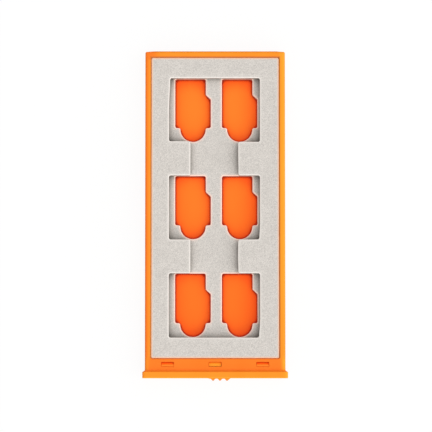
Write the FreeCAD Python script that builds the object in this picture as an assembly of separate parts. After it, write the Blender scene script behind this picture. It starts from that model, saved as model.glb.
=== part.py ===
"""Pull-out drawer of a memory card case, in millimetres.

The drawer lies flat. X runs across it, Y from its front plate to its rear end, Z up out of the pockets.
The origin is under the middle of the whole drawer, at the lower edge of the front plate.
"""

import FreeCAD, Part
import math
import os
from FreeCAD import Vector

# Moulded tray
tray_width = 44.8
tray_length = 102.25
tray_height = 6.6
side_wall = 1.95
rear_wall = 2.1
floor_thickness = 1.6
outer_edge_round = 0.8
inner_edge_round = 0.4
inner_corner_radius = 0.5
rear_corner_radius = 0.5
lead_in_width = 3.2
lead_in_depth = 0.3

# Lock housing across the front of the tray
housing_depth = 3.8
bulkhead_thickness = 1.15
deck_thickness = 1.2
housing_floor = 1.2
housing_end_wall = 2.7
window_width = 4.1
window_depth = 1.55
window_pitch = 15.15
window_corner_radius = 0.25
guide_wall = 0.8
guide_lip_width = 0.65
guide_lip_thickness = 0.5

# Front plate
plate_lip = 0.8
plate_bevel = 0.6
plate_rim = 1.95
plate_corner_radius = 1.0
plate_edge_round = 0.25
track_depth = 0.6
track_gap = 0.15

# Snap hooks and locating lugs on the back of the plate
snap_gap = 0.1
hook_thickness = 0.9
barb_drop = 0.15
barb_land = 0.6
hook_tip_share = 0.9
lug_length = 1.4
lug_thickness = 1.0

# Thumb slide
slide_travel = 3.1
tooth_count = 3
tooth_pitch = 2.22
tooth_height = 0.65
tooth_land = 0.2
valley_land = 0.75
tooth_round = 0.15
grip_base = 0.15
grip_height = 4.4
grip_corner_radius = 0.8
ramp_length = 0.8
ramp_sag_share = 0.25
neck_width = 1.6
neck_height = 2.0
neck_seat = 0.4

# Cam carrier, bolt and pin
running_gap = 0.1
carrier_thickness = 1.3
carrier_height = 3.8
carrier_web = 1.0
cam_depth = 0.8
bolt_lift = 0.9
bolt_drop = 0.4
bolt_bevel_drop = 0.3
bolt_land = 0.65
pin_radius = 0.5
pin_seat = 0.8

# Foam lining and its adhesive films
film_thickness = 0.1
lower_foam_thickness = 2.3
upper_foam_thickness = 2.3
foam_gap = 0.1
die_radius = 0.6

# Finger wells in the upper foam
row_count = 3
well_end_margin = 6.6
well_width = 29.1
well_length = 20.5
well_shift = -0.25
neck_cut_width = 15.35

# Card pockets in the lower foam
column_count = 2
column_pitch = 15.0
column_shift = 0.37
pocket_width = 11.4
pocket_length = 15.85
pocket_narrow_width = 9.8
shoulder_start = 5.1
shoulder_end = 6.6
notch_radius = 4.05
notch_offset = 0.4

# Every cut runs past the face that it opens
overrun = 2.0

# Heights
tray_bottom = plate_lip
tray_top = tray_bottom + tray_height
plate_top = tray_top + plate_lip
middle_height = plate_top / 2
floor_top = tray_bottom + floor_thickness
housing_bottom = tray_bottom + housing_floor
deck_under = tray_top - deck_thickness
lower_foam_bottom = floor_top + film_thickness
lower_foam_top = lower_foam_bottom + lower_foam_thickness
upper_foam_bottom = lower_foam_top + film_thickness
upper_foam_top = upper_foam_bottom + upper_foam_thickness

# Places along the drawer, from rear to front
plate_thickness = plate_bevel + plate_rim
rear_face = (tray_length + plate_thickness + grip_base + tooth_height) / 2
foam_rear = rear_face - rear_wall
seat_face = rear_face - tray_length
foam_front = seat_face + housing_depth
bulkhead_face = foam_front - bulkhead_thickness
window_front = bulkhead_face - window_depth
plate_face = seat_face - plate_thickness
lining_middle = (foam_rear + foam_front) / 2
row_pitch = (foam_rear - foam_front - well_length - 2 * well_end_margin) / (row_count - 1)

# Places across the drawer
tray_half = tray_width / 2
lining_half = tray_half - side_wall
housing_half = tray_half - housing_end_wall

# The thumb slide at rest stands at the right-hand end of its travel
middle_tooth = slide_travel / 2
first_tooth = middle_tooth - tooth_pitch * (tooth_count - 1) / 2
grip_left = first_tooth - tooth_pitch / 2 - ramp_length
grip_right = first_tooth + tooth_pitch * (tooth_count - 1 / 2)
grip_middle = (grip_left + grip_right) / 2

# The carrier slides in a recess in the back of the plate
carrier_back = seat_face - running_gap
carrier_front = carrier_back - carrier_thickness
recess_face = carrier_front - running_gap
carrier_half = middle_tooth + pin_radius + running_gap + carrier_web
grip_back = plate_face + track_depth - running_gap
neck_front = grip_back - neck_seat

# The bolt and its pin
bolt_half = window_width / 2 - running_gap
bolt_front = window_front + running_gap
bolt_back = bulkhead_face - running_gap
bolt_bottom = housing_bottom + running_gap
bolt_top = tray_top - bolt_drop
pin_height = middle_height - bolt_lift / 2

X = Vector(1, 0, 0)
Y = Vector(0, 1, 0)
Z = Vector(0, 0, 1)


def box(x, y, z):
    """A box between two places on each axis."""
    corner = Vector(min(x), min(y), min(z))
    return Part.makeBox(abs(x[1] - x[0]), abs(y[1] - y[0]), abs(z[1] - z[0]), corner)


def prism(edges, depth):
    """The face inside a closed row of edges, drawn out along a vector."""
    return Part.Face(Part.Wire(edges)).extrude(depth)


def polygon(points):
    """Straight edges round a closed row of points."""
    return [Part.makeLine(points[i - 1], points[i]) for i in range(len(points))]


def edges_along(shape, axis):
    """The straight edges of a shape that run along an axis."""
    straight = [edge for edge in shape.Edges if isinstance(edge.Curve, Part.Line)]
    return [edge for edge in straight if edge.Curve.Direction.isParallel(axis, Part.Precision.angular())]


def soften(shape, radius, axis):
    """Rounds every edge of a shape that runs along an axis."""
    return shape.makeFillet(radius, edges_along(shape, axis))


def mirrored(shape):
    """The same shape on the other side of the drawer's middle."""
    return shape.mirror(Vector(0, 0, 0), X)


def edges_at_height(shape, height, half_width):
    """The edges of a shape that lie at one height, no further out than a half width."""
    near = Part.Precision.confusion()
    level = [e for e in shape.Edges if abs(e.BoundBox.ZMin - height) + abs(e.BoundBox.ZMax - height) < near]
    return [e for e in level if max(-e.BoundBox.XMin, e.BoundBox.XMax) < half_width + near]


def tray_outside():
    """The tray's outer form: rounded long edges, a rounded rear end and tapered rear corners."""
    taper_start = tray_half - lead_in_width
    taper_end = rear_face - lead_in_depth
    outline = polygon([
        Vector(-tray_half, seat_face, tray_bottom),
        Vector(tray_half, seat_face, tray_bottom),
        Vector(tray_half, taper_end, tray_bottom),
        Vector(taper_start, rear_face, tray_bottom),
        Vector(-taper_start, rear_face, tray_bottom),
        Vector(-tray_half, taper_end, tray_bottom),
    ])
    plan = prism(outline, Z * tray_height)
    corners = [e for e in edges_along(plan, Z) if abs(e.BoundBox.Center.x) > taper_start]
    rear_corners = [e for e in corners if e.BoundBox.Center.y > 0]
    plan = plan.makeFillet(rear_corner_radius, rear_corners)
    heights = (tray_bottom, tray_top)
    section = box((-tray_half, tray_half), (seat_face, rear_face), heights)
    wide = tray_half + overrun
    side_view = box((-wide, wide), (seat_face - overrun, rear_face), heights)
    rounded_section = soften(section, outer_edge_round, Y)
    rounded_end = soften(side_view, outer_edge_round, X)
    return plan.common(rounded_section).common(rounded_end)


def bolt_guide():
    """One of the two L-shaped rails that hold the bolt upright in the housing."""
    inner = window_width / 2
    outer = inner + guide_wall
    lip = inner - guide_lip_width
    lip_front = window_front - guide_lip_thickness
    outline = polygon([
        Vector(inner, bulkhead_face, housing_bottom),
        Vector(outer, bulkhead_face, housing_bottom),
        Vector(outer, lip_front, housing_bottom),
        Vector(lip, lip_front, housing_bottom),
        Vector(lip, window_front, housing_bottom),
        Vector(inner, window_front, housing_bottom),
    ])
    return prism(outline, Z * (deck_under - housing_bottom))


def make_tray():
    """The moulded tray with its lining space, lock housing and three windows in the deck."""
    lining = box((-lining_half, lining_half), (foam_front, foam_rear), (floor_top, tray_top + overrun))
    tray = tray_outside().cut(soften(lining, inner_corner_radius, Z))
    tray = tray.makeFillet(inner_edge_round, edges_at_height(tray, tray_top, lining_half))
    housing_heights = (housing_bottom, deck_under)
    housing = box((-housing_half, housing_half), (seat_face - overrun, bulkhead_face), housing_heights)
    tray = tray.cut(housing)
    for place in (-window_pitch, 0, window_pitch):
        across = (place - window_width / 2, place + window_width / 2)
        window = box(across, (window_front, bulkhead_face), (middle_height, tray_top + overrun))
        tray = tray.cut(soften(window, window_corner_radius, Z))
    guide = bolt_guide()
    return tray.fuse([guide, mirrored(guide)]).removeSplitter()


def plate_outline(half_width, bottom, top, radius, place):
    """A rounded rectangle that stands across the drawer at one place along it."""
    flat = box((-half_width, half_width), (place, place + overrun), (bottom, top))
    faces = soften(flat, radius, Y).Faces
    return min(faces, key=lambda face: face.BoundBox.YMax).OuterWire


def plate_blank():
    """The plain plate: a bevel that grows from the tray's section, then the full-size rim."""
    rim_back = seat_face - plate_bevel
    wide_half = tray_half + plate_lip
    seat = plate_outline(tray_half, tray_bottom, tray_top, outer_edge_round, seat_face)
    wide = plate_outline(wide_half, 0, plate_top, plate_corner_radius, rim_back)
    bevel = Part.makeLoft([seat, wide], True, True)
    rim = Part.Face(wide).extrude(-Y * plate_rim)
    front = min(rim.Faces, key=lambda face: face.BoundBox.YMax)
    rim = rim.makeFillet(plate_edge_round, front.Edges)
    return bevel.fuse(rim).removeSplitter()


def snap_hook():
    """A short beam under the deck whose ramped barb stands up into a window."""
    half = window_width / 2 - snap_gap
    top = deck_under - snap_gap
    low = top - hook_thickness
    tip = bulkhead_face - snap_gap
    catch = window_front + snap_gap
    outline = polygon([
        Vector(-half, seat_face, low),
        Vector(-half, tip, low),
        Vector(-half, tip, low + hook_thickness * hook_tip_share),
        Vector(-half, catch + barb_land, tray_top - barb_drop),
        Vector(-half, catch, tray_top - barb_drop),
        Vector(-half, catch, top),
        Vector(-half, seat_face, top),
    ])
    return prism(outline, X * (2 * half))


def locating_lug():
    """A low block that rests on the housing's floor and keeps the plate from dropping."""
    half = window_width / 2 - snap_gap
    bottom = housing_bottom + snap_gap
    return box((-half, half), (seat_face, seat_face + lug_length), (bottom, bottom + lug_thickness))


def make_front_plate():
    """The end plate with the thumb slide's track, the carrier's recess, hooks and lugs."""
    plate = plate_blank()
    track_half = grip_height / 2 + track_gap
    track_heights = (middle_height - track_half, middle_height + track_half)
    track_ends = (grip_left - slide_travel - track_gap, grip_right + track_gap)
    track = box(track_ends, (plate_face - overrun, plate_face + track_depth), track_heights)
    plate = plate.cut(soften(track, grip_corner_radius, Y))
    recess_ends = (middle_tooth + carrier_half + running_gap, -middle_tooth - carrier_half - running_gap)
    recess_half = carrier_height / 2 + running_gap
    recess_heights = (middle_height - recess_half, middle_height + recess_half)
    plate = plate.cut(box(recess_ends, (recess_face, seat_face + overrun), recess_heights))
    slot_reach = neck_width / 2 + running_gap
    slot_ends = (grip_middle - slide_travel - slot_reach, grip_middle + slot_reach)
    slot_half = neck_height / 2 + running_gap
    slot_heights = (middle_height - slot_half, middle_height + slot_half)
    plate = plate.cut(box(slot_ends, (plate_face, seat_face), slot_heights))
    for place in (-window_pitch, window_pitch):
        for piece in (snap_hook(), locating_lug()):
            piece.translate(X * place)
            plate = plate.fuse(piece)
    return plate.removeSplitter()


def grip_profile():
    """The thumb slide from above: a hollow ramp, then ridges across the direction of travel."""
    valley = plate_face - grip_base
    tip = valley - tooth_height
    ramp_end = grip_left + ramp_length
    ramp_middle = Vector(grip_left + ramp_length / 2, plate_face - grip_base * ramp_sag_share, 0)
    back_left = Vector(grip_left, grip_back, 0)
    back_right = Vector(grip_right, grip_back, 0)
    ramp_start = Vector(grip_left, plate_face, 0)
    foot = (tooth_pitch - valley_land) / 2
    ridge = [Vector(ramp_end, valley, 0)]
    for tooth in range(tooth_count):
        place = first_tooth + tooth * tooth_pitch
        ridge.append(Vector(place - foot, valley, 0))
        ridge.append(Vector(place - tooth_land / 2, tip, 0))
        ridge.append(Vector(place + tooth_land / 2, tip, 0))
        ridge.append(Vector(place + foot, valley, 0))
    ridge[-1] = Vector(grip_right, plate_face, 0)
    edges = [Part.makeLine(back_left, ramp_start)]
    edges.append(Part.Arc(ramp_start, ramp_middle, ridge[0]).toShape())
    edges.extend(Part.makeLine(a, b) for a, b in zip(ridge, ridge[1:]))
    edges.append(Part.makeLine(ridge[-1], back_right))
    edges.append(Part.makeLine(back_right, back_left))
    return edges


def make_thumb_slide():
    """The ridged thumb piece, with a socket in its back for the carrier's neck."""
    grip = prism(grip_profile(), Z * grip_height)
    grip.translate(Z * (middle_height - grip_height / 2))
    creases = [e for e in edges_along(grip, Z) if e.BoundBox.YMax < plate_face - grip_base / 2]
    grip = grip.makeFillet(tooth_round, [e for e in creases if e.BoundBox.XMin > grip_left + ramp_length])
    heights = (middle_height - grip_height / 2, middle_height + grip_height / 2)
    outline = box((grip_left, grip_right), (plate_face - overrun, grip_back), heights)
    grip = grip.common(soften(outline, grip_corner_radius, Y))
    return grip.cut(neck(grip_back, neck_front))


def neck(back, front):
    """The square neck that joins the thumb piece to the carrier through the plate."""
    across = (grip_middle - neck_width / 2, grip_middle + neck_width / 2)
    heights = (middle_height - neck_height / 2, middle_height + neck_height / 2)
    return box(across, (back, front), heights)


def cam_groove():
    """The slanted groove: while the carrier runs left, the pin in it climbs by the bolt's lift."""
    reach = pin_radius + running_gap
    low = Vector(0, carrier_back, pin_height)
    high = Vector(slide_travel, carrier_back, pin_height + bolt_lift)
    along = (high - low).normalize() * reach
    aside = Vector(-along.z, 0, along.x)
    edges = [
        Part.makeLine(low - aside, high - aside),
        Part.Arc(high - aside, high + along, high + aside).toShape(),
        Part.makeLine(high + aside, low + aside),
        Part.Arc(low + aside, low - along, low - aside).toShape(),
    ]
    return prism(edges, -Y * cam_depth)


def make_slide_carrier():
    """The plate behind the front plate, with the neck in front and the cam groove behind."""
    across = (middle_tooth - carrier_half, middle_tooth + carrier_half)
    heights = (middle_height - carrier_height / 2, middle_height + carrier_height / 2)
    carrier = box(across, (carrier_front, carrier_back), heights)
    carrier = carrier.cut(cam_groove())
    return carrier.fuse(neck(carrier_front, neck_front)).removeSplitter()


def pin_body():
    """The dowel, from its seat in the bolt to near the floor of the cam groove."""
    tip = carrier_back - cam_depth + running_gap
    seat = bolt_front + pin_seat
    return Part.makeCylinder(pin_radius, seat - tip, Vector(0, tip, pin_height), Y)


def make_lock_bolt():
    """The upright bolt, with its nose bevelled towards the rear and a hole for the pin."""
    outline = polygon([
        Vector(-bolt_half, bolt_front, bolt_bottom),
        Vector(-bolt_half, bolt_back, bolt_bottom),
        Vector(-bolt_half, bolt_back, bolt_top - bolt_bevel_drop),
        Vector(-bolt_half, bolt_front + bolt_land, bolt_top),
        Vector(-bolt_half, bolt_front, bolt_top),
    ])
    bolt = prism(outline, X * (2 * bolt_half))
    plan = box((-bolt_half, bolt_half), (bolt_front, bolt_back), (bolt_bottom, bolt_top))
    return bolt.common(soften(plan, window_corner_radius, Z)).cut(pin_body())


def row_places():
    """The middles of the rows of wells, from front to rear."""
    first = lining_middle - row_pitch * (row_count - 1) / 2
    return [first + row * row_pitch for row in range(row_count)]


def lining_slab(bottom, thickness):
    """A layer that fills the lining space with a small gap all round."""
    across = (foam_gap - lining_half, lining_half - foam_gap)
    along = (foam_front + foam_gap, foam_rear - foam_gap)
    slab = box(across, along, (bottom, bottom + thickness))
    return soften(slab, inner_corner_radius, Z)


def card_pocket(bottom, thickness):
    """One pocket as cut: the card's stepped outline and a round finger notch at its front edge."""
    right = pocket_width / 2
    step = pocket_narrow_width - right
    chord = math.sqrt(notch_radius ** 2 - notch_offset ** 2)
    front = -pocket_length
    deepest = Vector(0, front - notch_offset - notch_radius, bottom)
    corners = [
        Vector(-chord, front, bottom),
        Vector(-right, front, bottom),
        Vector(-right, 0, bottom),
        Vector(step, 0, bottom),
        Vector(step, -shoulder_start, bottom),
        Vector(right, -shoulder_end, bottom),
        Vector(right, front, bottom),
        Vector(chord, front, bottom),
    ]
    edges = [Part.makeLine(a, b) for a, b in zip(corners, corners[1:])]
    edges.append(Part.Arc(corners[-1], deepest, corners[0]).toShape())
    return soften(prism(edges, Z * thickness), die_radius, Z)


def with_pockets(bottom, thickness):
    """A layer of the lining with every card pocket cut through it."""
    layer = lining_slab(bottom, thickness)
    first_column = column_shift - column_pitch * (column_count - 1) / 2
    for row in row_places():
        for column in range(column_count):
            pocket = card_pocket(bottom - overrun, thickness + overrun + overrun)
            pocket.translate(Vector(first_column + column * column_pitch, row + well_length / 2, 0))
            layer = layer.cut(pocket)
    return layer


def with_wells(bottom, thickness):
    """A layer of the lining with the finger wells and the necks between them cut through it."""
    heights = (bottom - overrun, bottom + thickness + overrun)
    rows = row_places()
    neck_ends = (well_shift - neck_cut_width / 2, well_shift + neck_cut_width / 2)
    cut = box(neck_ends, (rows[0], rows[-1]), heights)
    for row in rows:
        well_ends = (well_shift - well_width / 2, well_shift + well_width / 2)
        cut = cut.fuse(box(well_ends, (row - well_length / 2, row + well_length / 2), heights))
    cut = soften(cut.removeSplitter(), die_radius, Z)
    return lining_slab(bottom, thickness).cut(cut)


pieces = {
    "tray": make_tray(),
    "front_plate": make_front_plate(),
    "thumb_slide": make_thumb_slide(),
    "slide_carrier": make_slide_carrier(),
    "lock_bolt": make_lock_bolt(),
    "cam_pin": pin_body(),
    "floor_adhesive": with_pockets(floor_top, film_thickness),
    "foam_lower": with_pockets(lower_foam_bottom, lower_foam_thickness),
    "foam_adhesive": with_wells(lower_foam_top, film_thickness),
    "foam_upper": with_wells(upper_foam_bottom, upper_foam_thickness),
}

os.makedirs("parts", exist_ok=True)
for name, shape in pieces.items():
    shape.exportStep(os.path.join("parts", name + ".step"))
    print(name, len(shape.Solids), "solid", "valid" if shape.isValid() else "not valid", round(shape.Volume, 2))
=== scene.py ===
# %% [markdown]
# # Drawer of a memory card case
#
# A moulded orange drawer lies on white paper. Two layers of pale die-cut foam line it: the upper one is
# cut into finger wells, the lower one into six card pockets.
#
# The rigid pieces come from the CAD frame as they are, and only get finishes here. The foam is made again
# as soft pieces, because a die leaves foam with rounded edges and slightly hollow walls that a plain solid
# lacks.

# %% Load the frame
import math

import bmesh
import bpy
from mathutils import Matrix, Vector, noise
from mathutils.geometry import delaunay_2d_cdt


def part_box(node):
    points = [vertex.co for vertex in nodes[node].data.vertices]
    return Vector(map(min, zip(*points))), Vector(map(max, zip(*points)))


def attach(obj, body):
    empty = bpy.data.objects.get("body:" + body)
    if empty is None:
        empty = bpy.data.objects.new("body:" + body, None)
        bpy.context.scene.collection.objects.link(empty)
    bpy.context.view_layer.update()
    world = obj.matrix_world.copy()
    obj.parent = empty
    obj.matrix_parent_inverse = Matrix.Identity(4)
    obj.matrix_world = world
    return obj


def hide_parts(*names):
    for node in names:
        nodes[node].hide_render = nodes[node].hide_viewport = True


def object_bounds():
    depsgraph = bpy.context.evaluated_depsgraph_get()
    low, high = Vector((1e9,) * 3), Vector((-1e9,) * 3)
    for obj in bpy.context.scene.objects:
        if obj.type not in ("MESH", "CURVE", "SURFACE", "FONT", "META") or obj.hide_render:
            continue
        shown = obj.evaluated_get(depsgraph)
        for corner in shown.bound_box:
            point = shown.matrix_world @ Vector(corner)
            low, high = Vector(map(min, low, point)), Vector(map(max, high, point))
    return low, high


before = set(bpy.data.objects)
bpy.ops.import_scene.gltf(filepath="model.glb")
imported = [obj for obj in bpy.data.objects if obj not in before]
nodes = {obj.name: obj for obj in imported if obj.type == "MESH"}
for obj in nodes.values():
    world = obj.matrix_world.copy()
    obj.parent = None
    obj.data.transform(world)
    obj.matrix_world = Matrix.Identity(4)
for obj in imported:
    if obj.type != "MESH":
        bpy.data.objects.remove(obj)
cad_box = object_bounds()
scene = bpy.context.scene
mm = 0.001

# %% [markdown]
# ## Camera
#
# The photograph looks almost straight down. The front face of the end plate is seen exactly edge-on, which
# perspective allows only if the camera stands a little in front of the drawer. The side edges lean
# together by so little that the camera must be more than half a metre away, so the lens is long.

# %% Camera
image_side = 432
pixels_per_metre = 3.13 / mm
camera_distance = 760 * mm
camera_elevation = math.radians(86.1)
rim_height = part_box("tray")[1][2]
aim_offset = 0.27 * mm
aim = Vector((aim_offset, -aim_offset, rim_height))

camera_data = bpy.data.cameras.new("camera")
camera_data.lens = camera_data.sensor_width * pixels_per_metre * camera_distance / image_side
camera = bpy.data.objects.new("camera", camera_data)
backwards = Vector((0, -math.cos(camera_elevation), math.sin(camera_elevation)))
camera.location = aim + camera_distance * backwards
camera.rotation_euler = (math.pi / 2 - camera_elevation, 0, 0)
scene.collection.objects.link(camera)
scene.camera = camera
scene.view_settings.view_transform = "Standard"
print("camera:", round(camera_data.lens, 1), "mm lens")

# %% [markdown]
# ## Shader maths
#
# Materials here are formulas of place: grain, mottling, pores. Wiring them node by node hides the formula,
# so one small class wraps a socket and lets it be added, multiplied and mixed as a number would be.


# %% Sockets that behave like numbers
class Wire:
    """A socket of a shader tree that takes part in sums."""

    def __init__(self, tree, socket):
        self.tree = tree
        self.socket = socket

    def make(self, kind, settings, sockets, output=0):
        """Adds a node of any kind to the same tree and returns one of its outputs."""
        node = self.tree.nodes.new(kind)
        for name, value in settings.items():
            setattr(node, name, value)
        for name, value in sockets.items():
            if isinstance(value, Wire):
                self.tree.links.new(value.socket, node.inputs[name])
            else:
                node.inputs[name].default_value = value
        return Wire(self.tree, node.outputs[output])

    def math(self, operation, first, second):
        return self.make("ShaderNodeMath", {"operation": operation}, {0: first, 1: second})

    def __add__(self, other):
        return self.math("ADD", self, other)

    def __radd__(self, other):
        return self.math("ADD", other, self)

    def __sub__(self, other):
        return self.math("SUBTRACT", self, other)

    def __rsub__(self, other):
        return self.math("SUBTRACT", other, self)

    def __mul__(self, other):
        return self.math("MULTIPLY", self, other)

    def __rmul__(self, other):
        return self.math("MULTIPLY", other, self)

    def __truediv__(self, other):
        return self.math("DIVIDE", self, other)

    def __abs__(self):
        return self.math("ABSOLUTE", self, 0)

    def larger(self, other):
        return self.math("MAXIMUM", self, other)

    def ramp(self, low, high):
        """0 at the low value, 1 at the high one, smooth between them."""
        sockets = {"Value": self, "From Min": low, "From Max": high}
        return self.make("ShaderNodeMapRange", {"interpolation_type": "SMOOTHSTEP"}, sockets)

    def spread(self):
        """Noise, which stays near its middle value, stretched to the whole range from 0 to 1."""
        return self.ramp(0.3, 0.7)

    def blend(self, first, second):
        """A colour between two others, with this socket as the share of the second."""
        # The node repeats its socket names for each type of data, so the colours go by number.
        return self.make("ShaderNodeMix", {"data_type": "RGBA"}, {0: self, 6: first, 7: second}, 2)

    def grain(self, size, detail=2.0):
        """Noise of about that feature size in metres, from 0 to 1, over this place."""
        return self.make("ShaderNodeTexNoise", {}, {"Vector": self, "Scale": 1 / size, "Detail": detail})

    def cells(self, size):
        """Distance from the middle of the nearest cell, for cells of about that size."""
        return self.make("ShaderNodeTexVoronoi", {}, {"Vector": self, "Scale": 1 / size})

    def openness(self, reach):
        """The share of directions that meet nothing within that reach: 1 in the open, less in corners."""
        return self.make("ShaderNodeAmbientOcclusion", {"samples": 8}, {"Distance": reach}, "AO")

    def stretched(self, x, y, z):
        """This place with each axis multiplied."""
        return self.make("ShaderNodeVectorMath", {"operation": "MULTIPLY"}, {0: self, 1: (x, y, z)})

    def axis(self, index):
        return self.make("ShaderNodeSeparateXYZ", {}, {0: self}, index)

    def axes(self):
        return [self.axis(index) for index in range(3)]

    def relief(self, depth):
        """A normal that tilts as if this height, from 0 to 1, were that deep in metres."""
        return self.make("ShaderNodeBump", {}, {"Height": self, "Distance": depth})


print("shader maths ready")


# %% Colours and materials
def colour(red, green, blue):
    """A colour from 0 to 255 per channel, as a picture stores it, in the linear light of shaders."""
    shares = [channel / 255 for channel in (red, green, blue)]
    linear = [s / 12.92 if s <= 0.04045 else ((s + 0.055) / 1.055) ** 2.4 for s in shares]
    return (*linear, 1)


def finish(name, constants):
    """A new material: its shader with the constants set, and the place on the object as a socket."""
    material = bpy.data.materials.new(name)
    material.use_nodes = True
    tree = material.node_tree
    shader = tree.nodes["Principled BSDF"]
    for socket, value in constants.items():
        shader.inputs[socket].default_value = value
    coordinates = tree.nodes.new("ShaderNodeTexCoord")
    return material, shader, Wire(tree, coordinates.outputs["Object"])


def reopened(material):
    """The shader and the place of a finished material, for what is added to it later."""
    tree = material.node_tree
    return tree.nodes["Principled BSDF"], Wire(tree, tree.nodes["Texture Coordinate"].outputs["Object"])


def connect(shader, sockets):
    """Joins formulas to the sockets of a shader."""
    for name, wire in sockets.items():
        wire.tree.links.new(wire.socket, shader.inputs[name])


def painted_glow(shader, share, light):
    """Paints a glow on a share of the surface, for light that has come through the plastic."""
    connect(shader, {"Emission Color": share.blend(colour(0, 0, 0), light)})
    shader.inputs["Emission Strength"].default_value = 1


print("middle grey in linear light:", round(colour(128, 128, 128)[0], 3))

# %% [markdown]
# ## Places on the drawer
#
# One piece of plastic has several looks: yellower on the rims as painted light, deeper on the deck, browner
# in a crease as painted shade. Its faces could get a material each, but then every look would end in a hard
# line. Here masks are worked out
# from the place on the object instead. They need the sizes of the CAD pieces, which the frame knows, so
# that the looks stay in place if a size changes.

# %% Places
tray_high = Vector(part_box("tray")[1])
tray_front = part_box("tray")[0][1]
plate_low, plate_high = (Vector(corner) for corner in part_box("front_plate"))
lining_low, rim_inside = (Vector(corner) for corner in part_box("foam_upper"))
lining_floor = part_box("floor_adhesive")[0][2]
sunken_start = rim_height - 2 * mm
sunken_end = rim_height - 4 * mm
print("lining:", round((rim_height - lining_floor) / mm, 2), "mm deep")

# %% [markdown]
# ## Moulded plastic
#
# The orange pieces are moulded in a spark-eroded tool, which leaves a fine dull grain rather than a
# polish. The colour drifts slowly where the melt cooled unevenly, and the gloss follows the flow along the
# drawer. A picture could carry the grain, but noise needs no unwrapping and stays fine at any distance.
#
# Orange plastic lets some light through and throws some back, so one batch of it shows several oranges; the
# yellower oranges are painted light. In a deep corner light has been from orange to orange several times
# and is redder each time, so an occlusion mask, which finds the corners by itself, paints shade there and
# deepens the colour. A faint browner line runs along the upper outer edges.

# %% Moulded grain
deep_orange = (colour(250, 123, 28), colour(255, 128, 34))
light_orange = (colour(250, 144, 32), colour(255, 150, 38))
yellow_orange = (colour(252, 158, 36), colour(255, 166, 42))
edge_line_orange = colour(180, 102, 38)
flow_size = 7 * mm
flow_stretch = 0.3
flow_share = 0.7
grain_size = 0.16 * mm
grain_depth = 0.006 * mm
plastic_roughness = 0.4
flow_roughness = 0.12
grain_roughness = 0.1
# Painted shade in corners: the occlusion mask blends in a corner colour, fully at deepest_corner.
deepest_corner = 0.25
wide_corner = 5 * mm
edge_line_width = 0.5 * mm
edge_line_inset = 0.05 * mm
edge_line_low, edge_line_high = 1.3, 0.9
edge_line_share = 0.25


def moulded(name, painted_corner_colour, corner_reach, mixed):
    """A dull moulded plastic with painted shade in corners; its colour comes from a function of place and
    tone.
    """
    material, shader, place = finish(name, {"IOR": 1.5, "Specular IOR Level": 0.15})
    flow = place.stretched(1, flow_stretch, 1).grain(flow_size)
    grain = place.grain(grain_size, detail=3.0)
    tone = (flow * flow_share + grain * (1 - flow_share)).spread()
    body = mixed(place, tone)
    connect(shader, {
        "Base Color": place.openness(corner_reach).ramp(deepest_corner, 1).blend(painted_corner_colour, body),
        "Roughness": flow * flow_roughness + grain * grain_roughness + plastic_roughness,
        "Normal": grain.relief(grain_depth),
    })
    return material


def browner_upper_edge(height, outside, edge_round, body):
    """A colour with a faint browner line along the upper edges; height and outside are 0 at the limits."""
    by_edge = outside.ramp(-edge_line_width, -edge_line_inset)
    line = by_edge * height.ramp(-edge_line_low * edge_round, -edge_line_high * edge_round)
    return (line * edge_line_share).blend(body, edge_line_orange)


print("grain:", grain_size / mm, "mm wide and", grain_depth / mm, "mm deep")

# %% [markdown]
# ## Tray
#
# The tray's rims are painted yellower, as painted light for the light that also falls through them, most of
# all on the right and beside the deck; on the left only a narrow stripe is. The deck is the plain deep
# orange. The floor, seen in the pockets, is lit through the foam's openings only, and painted shade makes
# it redder towards the front and away from each pocket's middle.

# %% Tray's walls
deck_fade = 1 * mm
deck_end_width = 1.5 * mm
right_blend = 0.3 * mm
left_blend = 0.1 * mm
stripe_near, stripe_far = 0.2 * mm, 1.6 * mm
left_end_share = 0.5
corner_fade = 1 * mm
rim_blend = 0.9 * mm
rear_fade = 3 * mm


def wall_tops(x, y, by_deck):
    """Masks of the painted light on the right, left and rear walls; beside the deck the side walls keep
    their outer part.
    """
    outwards = abs(x).ramp(rim_inside.x, rim_inside.x + deck_end_width)
    right_wall = x.ramp(rim_inside.x, rim_inside.x + right_blend)
    right = right_wall + by_deck * (outwards * right_wall - right_wall)
    left_wall = (-1 * x).ramp(rim_inside.x, rim_inside.x + left_blend)
    stripe = (-1 * x).ramp(rim_inside.x + stripe_far, rim_inside.x + stripe_near)
    left_top = stripe + by_deck * (outwards * left_end_share - stripe)
    left = left_wall * left_top * y.ramp(rim_inside.y, rim_inside.y - corner_fade)
    rear_wall = y.ramp(rim_inside.y, rim_inside.y + rim_blend)
    return right, left, rear_wall * x.ramp(-rim_inside.x, -rim_inside.x + rear_fade)


print("left stripe:", round((stripe_far - stripe_near) / mm, 2), "mm wide")

# %% Tray's floor
# Painted shade: the floor's orange runs from pale to red towards the front and towards each pocket's sides.
floor_orange = (colour(253, 138, 38), colour(253, 110, 22))
pocket_middle = 7.5 * mm
pocket_half_width = 4.5 * mm
palest_floor, reddest_floor = 45 * mm, -35 * mm
least_redness = 0.25
forward_redness = 0.5
sideways_redness = 0.2


def inside_colour(x, y, z, tone):
    """Deep orange on the deck, and below it the floor's orange, reddened by painted shade."""
    sunken = z.ramp(sunken_start, sunken_end)
    forwards = y.ramp(palest_floor, reddest_floor)
    sideways = (abs(x) - pocket_middle) / pocket_half_width
    floor_painted_shade = least_redness + forward_redness * forwards + sideways_redness * sideways
    return sunken.blend(tone.blend(*deep_orange), floor_painted_shade.blend(*floor_orange))


print("floor's redness:", least_redness, "to", least_redness + forward_redness + sideways_redness)

# %% Tray's plastic
tray_corner_painted_shade = colour(255, 90, 18)
tray_edge_round = 0.8 * mm
# Painted light: the right wall turns yellower from the front towards the rear, and most beside the deck.
painted_light_front, painted_light_rear = -45 * mm, -15 * mm
deck_painted_light = 1.5
wall_painted_light = 0.6
below_width = 0.3 * mm
below_start, below_end = rim_height - 0.5 * mm, rim_height - 1.5 * mm


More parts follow.
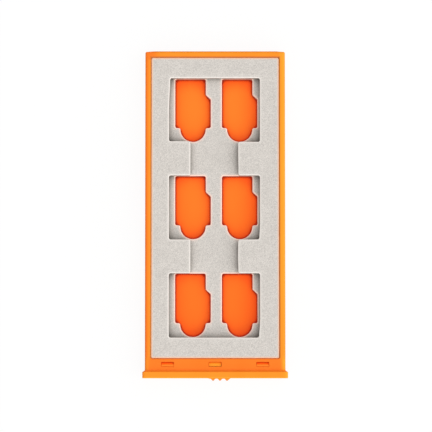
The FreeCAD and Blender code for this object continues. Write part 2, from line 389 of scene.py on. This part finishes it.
def tray_colour(place, tone):
    """Walls yellower with painted light round the deck and the floor, and a browner line on the outer edge.
    """
    x, y, z = place.axes()
    by_deck = y.ramp(lining_low.y + deck_fade, lining_low.y - deck_fade)
    right, left, rear = wall_tops(x, y, by_deck)
    painted_light_share = (right * y.ramp(painted_light_front, painted_light_rear).larger(by_deck * deck_painted_light)).larger(left) * wall_painted_light
    wall = painted_light_share.blend(tone.blend(*light_orange), tone.blend(*yellow_orange))
    top = right.larger(left).larger(rear).blend(inside_colour(x, y, z, tone), wall)
    side = (abs(x) - rim_inside.x).larger(y - rim_inside.y)
    below = side.ramp(0, below_width) * z.ramp(below_start, below_end)
    body = below.blend(top, tone.blend(*light_orange))
    outside = (abs(x) - tray_high.x).larger(y - tray_high.y)
    return browner_upper_edge(z - rim_height, outside, tray_edge_round, body)


tray_plastic = moulded("tray_plastic", tray_corner_painted_shade, wide_corner, tray_colour)
print("plastic:", tray_plastic.name)

# %% [markdown]
# ## Round the lining
#
# Painted shade browns the crease beside the foam, less of it at the front. At the foam's foot the floor is
# almost shut off from light, and painted shade leaves a dark line round each pocket. A painted red glow
# stands for light that comes through the floor from the paper below. All three are added to the finished
# tray plastic, because they lie on top of its colour.

# %% Lining's painted crease shade, dark line and red glow
crease_shade_orange = colour(184, 103, 43)
contact_orange = colour(125, 38, 6)
# Painted light: a faint red glow on the floor.
floor_painted_glow = (0.165, 0, 0, 1)
floor_blend = 1 * mm
crease_width = 0.8 * mm
front_blend = 0.1 * mm
less_at_front_share = 0.65
contact_reach = 1.4 * mm
contact_open, contact_shut = 0.9, 0.5


def finish_lining(material):
    """Adds painted shade in the crease at the foam's edge, a painted dark line at its foot and a painted
    red glow on the floor.
    """
    shader, place = reopened(material)
    x, y, z = place.axes()
    upper_side = z.ramp(lining_floor - floor_blend, lining_floor)
    lower_half = z.ramp(lining_floor + 2 * floor_blend, lining_floor)
    floor = upper_side * lower_half * abs(x).ramp(rim_inside.x, rim_inside.x - floor_blend)
    beside = (abs(x) - rim_inside.x).larger(y - rim_inside.y).larger(lining_low.y - y)
    # Painted shade in the crease beside the foam, weaker at the front.
    crease_shade = beside.ramp(crease_width, 0) * z.ramp(sunken_end, sunken_start)
    less_at_front = less_at_front_share * y.ramp(lining_low.y + front_blend, lining_low.y)
    body = Wire(place.tree, shader.inputs["Base Color"].links[0].from_socket)
    crease_shaded = (crease_shade * (1 - less_at_front)).blend(body, crease_shade_orange)
    # Painted shade: a dark line where the foam's foot meets the floor.
    contact = place.openness(contact_reach).ramp(contact_open, contact_shut)
    connect(shader, {"Base Color": (contact * floor).blend(crease_shaded, contact_orange)})
    painted_glow(shader, floor, floor_painted_glow)


finish_lining(tray_plastic)
print("crease:", crease_width / mm, "mm wide")

# %% [markdown]
# ## End plate
#
# The plate's rim is painted as yellow as the walls, and painted yellower still on its front edge and its
# right end, as painted light. The bevel at its back is the deck's deep orange. Its two hooks lie under the
# thin deck, and a painted glow stands for the little light it lets through to them.

# %% End plate's plastic
# The plate's corner colour is painted: on the rim it paints shade, in the hooks' hollows it paints light.
plate_painted_corner_colour = colour(255, 140, 38)
hook_painted_glow = (0.1, 0.022, 0.002, 1)
bevel_depth = 0.6 * mm
plate_edge_round = 0.25 * mm
front_edge_width = 0.7 * mm
plate_painted_light = 0.8
hook_blend = 0.3 * mm


def plate_colour(place, tone):
    """Yellow orange as painted light on the end plate's rim, deep orange on the bevel and the hooks behind
    it.
    """
    x, y, z = place.axes()
    rim = y.ramp(tray_front - bevel_depth / 2, tray_front - bevel_depth)
    front_edge = y.ramp(plate_low.y + front_edge_width, plate_low.y)
    painted_light_share = x.ramp(rim_inside.x, plate_high.x).larger(front_edge) * plate_painted_light
    yellow = painted_light_share.blend(tone.blend(*light_orange), tone.blend(*yellow_orange))
    body = rim.blend(tone.blend(*deep_orange), yellow)
    return browner_upper_edge(z - plate_high.z, abs(x) - plate_high.x, plate_edge_round, body)


def paint_hook_glow(material):
    """Adds a painted glow to the hooks under the thin deck, for the light that comes through it."""
    shader, place = reopened(material)
    painted_glow(shader, place.axis(1).ramp(tray_front, tray_front + hook_blend), hook_painted_glow)


plate_plastic = moulded("plate_plastic", plate_painted_corner_colour, wide_corner, plate_colour)
paint_hook_glow(plate_plastic)
print("plastic:", plate_plastic.name)

# %% [markdown]
# ## Lock pieces
#
# The thumb slide and the bolt are small and thin, so more light goes through them: they are painted the
# yellowest, as painted light. The crests of the ridges are browner. The ridges are the only part of these
# pieces that stands out in front of the plate, so the distance from its front face finds the crests.

# %% Lock's plastic
lock_corner_painted_shade = colour(250, 140, 34)
crest_orange = colour(220, 144, 42)
crest_start, crest_end = 0.25 * mm, 0.6 * mm
narrow_corner = 0.4 * mm


def lock_colour(place, tone):
    """The yellowest orange, as painted light, browner on the crests of the ridges."""
    crests = place.axis(1).ramp(plate_low.y - crest_start, plate_low.y - crest_end)
    return crests.blend(tone.blend(*yellow_orange), crest_orange)


lock_plastic = moulded("lock_plastic", lock_corner_painted_shade, narrow_corner, lock_colour)
print("plastic:", lock_plastic.name)

# %% [markdown]
# ## Foam
#
# The lining is a fine closed-cell foam. Cut cells catch light and hold small shadows, so its grey is
# speckled at the size of a few cells, with sparse open pores. Where the die pressed, the edge is paler and
# smoother, and that paleness also paints the edge's highlight. The cut walls show more open cells than the
# skin and are darker, which also paints shade; an occlusion mask paints shade into the corners. Pale foam
# takes on the orange beside it as painted reflected light: the sheet's outer edge is warm from the rim, and
# the pockets' edges and walls are warm from the floor under them.
#
# The speckle's size is just off 0.2 mm on purpose. The noise fades out on the planes of its own lattice,
# and with 0.2 mm the top of the foam would lie on such a plane.

# %% Foam finish
foam_dark = colour(185, 180, 174)
foam_pale = colour(225, 219, 212)
foam_shade = colour(108, 102, 95)
rim_painted_bounce = colour(246, 200, 168)
bounced_orange = colour(255, 178, 132)
speckle_size = 0.196 * mm
speckle_share = 0.9
mottle_size = 3.5 * mm
pore_spacing = 0.9 * mm
pore_rim, pore_core = 0.24, 0.1
pore_share = 0.55
pore_sink = 0.5
foam_relief = 0.05 * mm
steep, level = 0.2, 0.8
shade_reach = 4.5 * mm
shade_shut, shade_open = 0.1, 0.85
rim_bounce_near, rim_bounce_far = 0.3 * mm, 0.8 * mm
pressed_highlight_share = 0.9
bounce_share = 0.4
lower_layer_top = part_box("foam_lower")[1][2]
lining_middle = (lining_low.y + rim_inside.y) / 2
lining_reach = (rim_inside.y - lining_low.y) / 2


def foam_finish(name, pressed_edge_highlight, cut):
    """Speckled foam with painted shade in corners, paler where the edge attribute is 1, which paints a
    highlight, with painted orange light on the feet of its walls.
    """
    material, shader, place = finish(name, {"Roughness": 0.95, "Specular IOR Level": 0.1})
    x, y, z = place.axes()
    speckle = place.grain(speckle_size, detail=3.0)
    mottle = place.grain(mottle_size)
    pores = place.cells(pore_spacing).ramp(pore_rim, pore_core)
    normal = place.make("ShaderNodeNewGeometry", {}, {}, "Normal")
    wall = 1 - abs(normal.axis(2)).ramp(steep, level)
    edge = place.make("ShaderNodeAttribute", {"attribute_name": "edge"}, {}, "Fac")
    tone = speckle.spread() * speckle_share + mottle.spread() * (1 - speckle_share)
    pitted = (pores * pore_share).blend(wall.blend(tone.blend(foam_dark, foam_pale), cut), foam_dark)
    # Painted shade: towards foam_shade where the occlusion mask finds a corner.
    shaded = place.openness(shade_reach).ramp(shade_shut, shade_open).blend(foam_shade, pitted)
    beside = (abs(x) - rim_inside.x).larger(abs(y - lining_middle) - lining_reach)
    # Painted reflected light: the sheet's outer edge is warmer beside the rim.
    line = beside.ramp(-rim_bounce_far, -rim_bounce_near).blend(pressed_edge_highlight, rim_painted_bounce)
    # Painted reflected light from the orange floor on the walls' feet.
    bounce = wall * z.ramp(lower_layer_top, lining_floor) * bounce_share
    connect(shader, {
        "Base Color": bounce.blend((edge * pressed_highlight_share).blend(shaded, line), bounced_orange),
        "Normal": (speckle - pores * pore_sink).relief(foam_relief),
    })
    return material


# Pressed colours are paler skin that also paints the edges' highlights, warm in the pockets as painted
# light from the floor. Cut colours darken the walls, partly painted shade; the pockets' warmer cut paints
# light from the floor.
pocket_finish = foam_finish("pocket_foam", colour(254, 222, 206), colour(190, 178, 166))
well_finish = foam_finish("well_foam", colour(233, 227, 220), colour(165, 159, 152))
print("foam finishes:", pocket_finish.name, well_finish.name)

# %% [markdown]
# ## Outlines of a foam layer
#
# Each layer is built from the outline of its CAD solid, so that wells and pockets lie exactly where the
# solid has them. An edge belongs to the outline when the flat top is on one side of it and a wall on the
# other. Points are then added along the long straight parts, because they have to bend a little: here and
# there a long edge of the wells has sprung out of line, by about a third of a millimetre at most.

# %% Outlines
weld = 0.001 * mm
outline_step = 0.4 * mm


def top_outlines(solid):
    """Closed rows of points round the top face of a flat solid, with the material on their left."""
    shape = bmesh.new()
    shape.from_mesh(solid.data)
    bmesh.ops.remove_doubles(shape, verts=shape.verts, dist=weld)
    top = max(vertex.co.z for vertex in shape.verts)
    top_faces = [face for face in shape.faces if all(top - v.co.z < weld for v in face.verts)]
    onward = {}
    for face in top_faces:
        for corner in face.loops:
            neighbour = corner.link_loop_radial_next.face
            if any(top - v.co.z > weld for v in neighbour.verts):
                onward[corner.vert] = corner.link_loop_next.vert
    outlines = []
    while onward:
        vertex = next(iter(onward))
        outline = []
        while vertex in onward:
            outline.append(vertex.co.to_2d())
            vertex = onward.pop(vertex)
        outlines.append(outline)
    shape.free()
    return outlines


def evenly(outline):
    """The same outline with points no further apart than the step."""
    points = []
    for start, end in zip(outline, outline[1:] + outline[:1]):
        count = math.ceil((end - start).length / outline_step)
        points.extend(start.lerp(end, i / count) for i in range(count))
    return points


def sprung(point, gives):
    """The place that a point of a cut edge springs to when the die lets go of it."""
    moved = point.copy()
    for where, way, reach in gives:
        nearness = math.exp(-((point - mm * Vector(where)).length / (reach * mm)) ** 2)
        moved += nearness * mm * Vector(way)
    return moved


def inward(points):
    """The direction into the material at each point, longer at corners so that insets keep their width."""
    directions = []
    for before, here, after in zip(points[-1:] + points[:-1], points, points[1:] + points[:1]):
        arriving = (here - before).normalized()
        along = (arriving + (after - here).normalized()).normalized()
        left = Vector((-along.y, along.x))
        directions.append(left / left.dot(Vector((-arriving.y, arriving.x))))
    return directions


print("outlines:", [len(top_outlines(nodes[node])) for node in ("foam_lower", "foam_upper")])

# %% [markdown]
# ## Die-cut walls and skin
#
# A cutting die presses foam before it parts it, so when the sheet springs back the top edge is rounded and
# the wall is a little hollow half-way down. A bevel modifier rounds edges too, but it can't make the wall
# hollow. Here rings of points climb the wall on such a profile and turn over the edge. A net of triangles
# closes the top. It has points inside it as well, so that the skin can be as slightly uneven as real sheet.

# %% Walls and skin
inside_with_holes = 2
wall_hollow = 0.1 * mm
margin_edge = 0.2
skin_step = 0.9 * mm
skin_wave = 0.03 * mm
skin_wave_size = 6 * mm


def wall_profile(thickness, edge_round, skin_margin):
    """Steps of (inset, height, edge) up a die-cut wall, over its rounded edge and onto the skin."""
    wall = thickness - edge_round
    steps = []
    for share in (0, 0.25, 0.5, 0.75, 1):
        steps.append((wall_hollow * math.sin(math.pi * share), wall * share, share ** 4))
    for turn in (30, 60, 90):
        angle = math.radians(turn)
        steps.append((edge_round * (1 - math.cos(angle)), wall + edge_round * math.sin(angle), 1))
    steps.append((edge_round + skin_margin, thickness, margin_edge))
    return steps


def net_points(low, high):
    """A triangular net of places over a rectangle."""
    rows = math.ceil((high.y - low.y) / skin_step)
    columns = math.ceil((high.x - low.x) / skin_step)
    places = []
    for row in range(1, rows):
        shift = 0.25 if row % 2 else -0.25
        for column in range(1, columns):
            places.append(Vector((low.x + (column + shift) * skin_step, low.y + row * skin_step)))
    return places


def close(shape, rings, spare, height):
    """Fills the flat region between rings of points with triangles, through spare places inside it."""
    points = [vertex for ring in rings for vertex in ring]
    flat = [vertex.co.to_2d() for vertex in points] + spare
    borders = []
    for ring in rings:
        first = sum(len(border) for border in borders)
        borders.append(list(range(first, first + len(ring))))
    filled = delaunay_2d_cdt(flat, [], borders, inside_with_holes, weld)
    places, triangles, sources = filled[0], filled[2], filled[3]
    made = {}
    for triangle in triangles:
        for corner in triangle:
            if corner not in made:
                source = sources[corner][0]
                inner = source >= len(points)
                made[corner] = shape.verts.new((*places[corner], height)) if inner else points[source]
    return [shape.faces.new([made[corner] for corner in triangle]) for triangle in triangles]


def ruffle(shape, low, high):
    """Lets the skin sink unevenly, and what is under it less and less towards the bottom."""
    for vertex in shape.verts:
        rise = (vertex.co.z - low.z) / (high.z - low.z)
        vertex.co.z += skin_wave * rise * (noise.noise(vertex.co / skin_wave_size) - 1)


print("skin: a point every", skin_step / mm, "mm, waves", skin_wave / mm, "mm deep")

# %% [markdown]
# ## Foam layers
#
# The sheet is cut a little large for the tray, so its outer edge is pressed against the wall and swells.
# The inner edges are those of the wells or pockets. Both layers are made by one function and take the
# place of their CAD solids. They are soft: a fingertip presses them.

# %% Foam layers
sheet_edge = {"edge_round": 0.2 * mm, "skin_margin": 0.35 * mm}
die_edge = {"edge_round": 0.2 * mm, "skin_margin": 0.3 * mm}
sheet_swell = 0.08 * mm


def foam_walls(shape, node, low, high, gives):
    """Builds the walls of a layer and returns the rings of points at their feet and on the skin."""
    edge = shape.verts.layers.float.new("edge")
    feet, tops = [], []
    for outline in top_outlines(nodes[node]):
        outermost = min(point.x for point in outline) - low.x < weld
        points = [sprung(point, [] if outermost else gives) for point in evenly(outline)]
        directions = inward(points)
        swell = sheet_swell if outermost else 0
        rings = []
        profile = wall_profile(high.z - low.z, **(sheet_edge if outermost else die_edge))
        for inset, height, pressed_edge_highlight in profile:
            ring = []
            for point, direction in zip(points, directions):
                place = point + (inset - swell) * direction
                vertex = shape.verts.new((place.x, place.y, low.z + height))
                vertex[edge] = pressed_edge_highlight
                ring.append(vertex)
            rings.append(ring)
        for lower, upper in zip(rings, rings[1:]):
            for i in range(len(lower)):
                shape.faces.new((lower[i - 1], lower[i], upper[i], upper[i - 1]))
        feet.append(rings[0])
        tops.append(rings[-1])
    return feet, tops


def foam_layer(name, node, material, gives):
    """One layer of lining in place of its CAD solid."""
    low, high = (Vector(corner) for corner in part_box(node))
    shape = bmesh.new()
    feet, tops = foam_walls(shape, node, low, high, gives)
    close(shape, tops, net_points(low, high), high.z)
    for face in close(shape, feet, [], low.z):
        face.normal_flip()
    ruffle(shape, low, high)
    for face in shape.faces:
        face.smooth = True
    mesh = bpy.data.meshes.new(name)
    shape.to_mesh(mesh)
    shape.free()
    mesh.materials.append(material)
    piece = bpy.data.objects.new(name, mesh)
    scene.collection.objects.link(piece)
    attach(piece, "drawer")
    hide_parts(node)
    return piece


# Where an edge of the wells gives, by how much and how far round that place, in millimetres.
well_gives = [
    ((-14.8, 43.5), (0.36, 0), 5.5),
    ((-12, 23.5), (0, 0.22), 5),
    ((7.3, 20.8), (-0.1, 0), 4),
    ((14.2, -7.3), (-0.2, 0), 2.5),
    ((7.3, -12.7), (-0.15, 0), 5),
    ((14, -38.6), (-0.32, 0), 2.8),
]
lower_layer = foam_layer("pocket_foam", "foam_lower", pocket_finish, [])
upper_layer = foam_layer("well_foam", "foam_upper", well_finish, well_gives)
for layer in (lower_layer, upper_layer):
    print(layer.name, len(layer.data.polygons), "faces")

# %% [markdown]
# ## Adhesive film and steel
#
# Thin double-sided film holds the foam. Only its cut edge shows, as a milky line. The cam pin is a piece of
# drawn and ground wire, so its polish runs round it. Noise that is stretched along one direction gives both
# the streaks of the coating and the marks of the grinding.

# %% Film and pin
mark_stretch = 0.1
film_milk = (colour(216, 208, 196), colour(228, 222, 212))
film_roughness = 0.35
streak_size = 1.2 * mm
streak_roughness = 0.2
steel_grey = (colour(186, 186, 188), colour(206, 206, 207))
steel_roughness = 0.22
grinding_size = 0.05 * mm
grinding_depth = 0.002 * mm
grinding_roughness = 0.16


def film_finish(name):
    """Milky adhesive film with faint streaks from its coating."""
    material, shader, place = finish(name, {"Specular IOR Level": 0.4})
    streaks = place.stretched(1, mark_stretch, 1).grain(streak_size)
    connect(shader, {
        "Base Color": streaks.spread().blend(*film_milk),
        "Roughness": film_roughness + streak_roughness * streaks,
    })
    return material


def ground_steel(name):
    """Steel with fine grinding marks round the pin's axis, which runs along Y."""
    material, shader, place = finish(name, {"Metallic": 1.0})
    marks = place.stretched(mark_stretch, 1, mark_stretch).grain(grinding_size, detail=4.0)
    connect(shader, {
        "Base Color": marks.blend(*steel_grey),
        "Roughness": steel_roughness + grinding_roughness * marks,
        "Normal": marks.relief(grinding_depth),
    })
    return material


adhesive_film = film_finish("adhesive_film")
pin_steel = ground_steel("pin_steel")
print("finishes:", adhesive_film.name, pin_steel.name)

# %% [markdown]
# ## Dressing the rigid pieces
#
# The rigid pieces keep their CAD meshes and only change material. The pieces of the lock share one plastic,
# and both films share another, as they would come from one batch.

# %% Dressing
finishes = {
    "tray": tray_plastic,
    "front_plate": plate_plastic,
    "thumb_slide": lock_plastic,
    "slide_carrier": lock_plastic,
    "lock_bolt": lock_plastic,
    "cam_pin": pin_steel,
    "floor_adhesive": adhesive_film,
    "foam_adhesive": adhesive_film,
}
for node, material in finishes.items():
    nodes[node].data.materials.clear()
    nodes[node].data.materials.append(material)
print("finished nodes:", ", ".join(finishes))

# %% [markdown]
# ## Paper and light tent
#
# The drawer lies in a light tent, so light reaches it from everywhere above, and more of it from the right
# and from the front: rims are palest there, and the wells are darkest under their right and front walls. A
# world whose brightness leans that way gives such light directly. The paper and the tent look pure white to
# the camera, but that whiteness must not flood the drawer: so what the camera sees, and what shiny surfaces
# mirror, is told apart from what lights the scene. The paper keeps a share of its true shading, and so the
# shadow.

# %% Paper
paper_white = (colour(250, 250, 249), colour(254, 254, 253))
paper_glow_share = 0.92
paper_half = 3.0
fibre_size = 0.8 * mm
fibre_depth = 0.01 * mm


def seen_directly(tree):
    """1 for rays that show the background itself, straight on, mirrored or through something clear."""
    rays = tree.nodes.new("ShaderNodeLightPath").outputs
    straight = Wire(tree, rays["Is Camera Ray"])
    mirrored = Wire(tree, rays["Is Glossy Ray"])
    through = Wire(tree, rays["Is Transmission Ray"])
    return straight.larger(mirrored).larger(through)


def white_paper():
    """Paper that glows white for the camera and still takes a faint shadow."""
    material, shader, place = finish("paper", {"Roughness": 0.9, "Specular IOR Level": 0.1})
    fibres = place.grain(fibre_size, detail=3.0)
    connect(shader, {
        "Base Color": fibres.blend(*paper_white),
        "Normal": fibres.relief(fibre_depth),
    })
    glow = place.make("ShaderNodeEmission", {}, {})
    lit = Wire(place.tree, shader.outputs[0])
    share = seen_directly(place.tree) * paper_glow_share
    mixed = place.make("ShaderNodeMixShader", {}, {0: share, 1: lit, 2: glow})
    place.tree.links.new(mixed.socket, place.tree.nodes["Material Output"].inputs["Surface"])
    return material


paper_mesh = bpy.data.meshes.new("paper")
corners = [(-1, -1), (1, -1), (1, 1), (-1, 1)]
paper_mesh.from_pydata([(x * paper_half, y * paper_half, 0) for x, y in corners], [], [(0, 1, 2, 3)])
paper_mesh.materials.append(white_paper())
paper = bpy.data.objects.new("paper", paper_mesh)
paper.location.z = cad_box[0][2]
scene.collection.objects.link(paper)
print("paper:", 2 * paper_half, "m wide")

# %% Light tent
tent_light = 1.1
right_lean = 0.6
front_lean = 0.5

world = bpy.data.worlds.new("tent")
world.use_nodes = True
scene.world = world
tree = world.node_tree
direction = Wire(tree, tree.nodes.new("ShaderNodeTexCoord").outputs["Generated"])
leaning = tent_light * (1 + right_lean * direction.axis(0) - front_lean * direction.axis(1))
white = seen_directly(tree)
strength = white + (1 - white) * leaning
background = tree.nodes["Background"].inputs
tree.links.new(strength.socket, background["Strength"])
background["Color"].default_value = (1, 1, 1, 1)
print("tent:", tent_light, "of plain light")
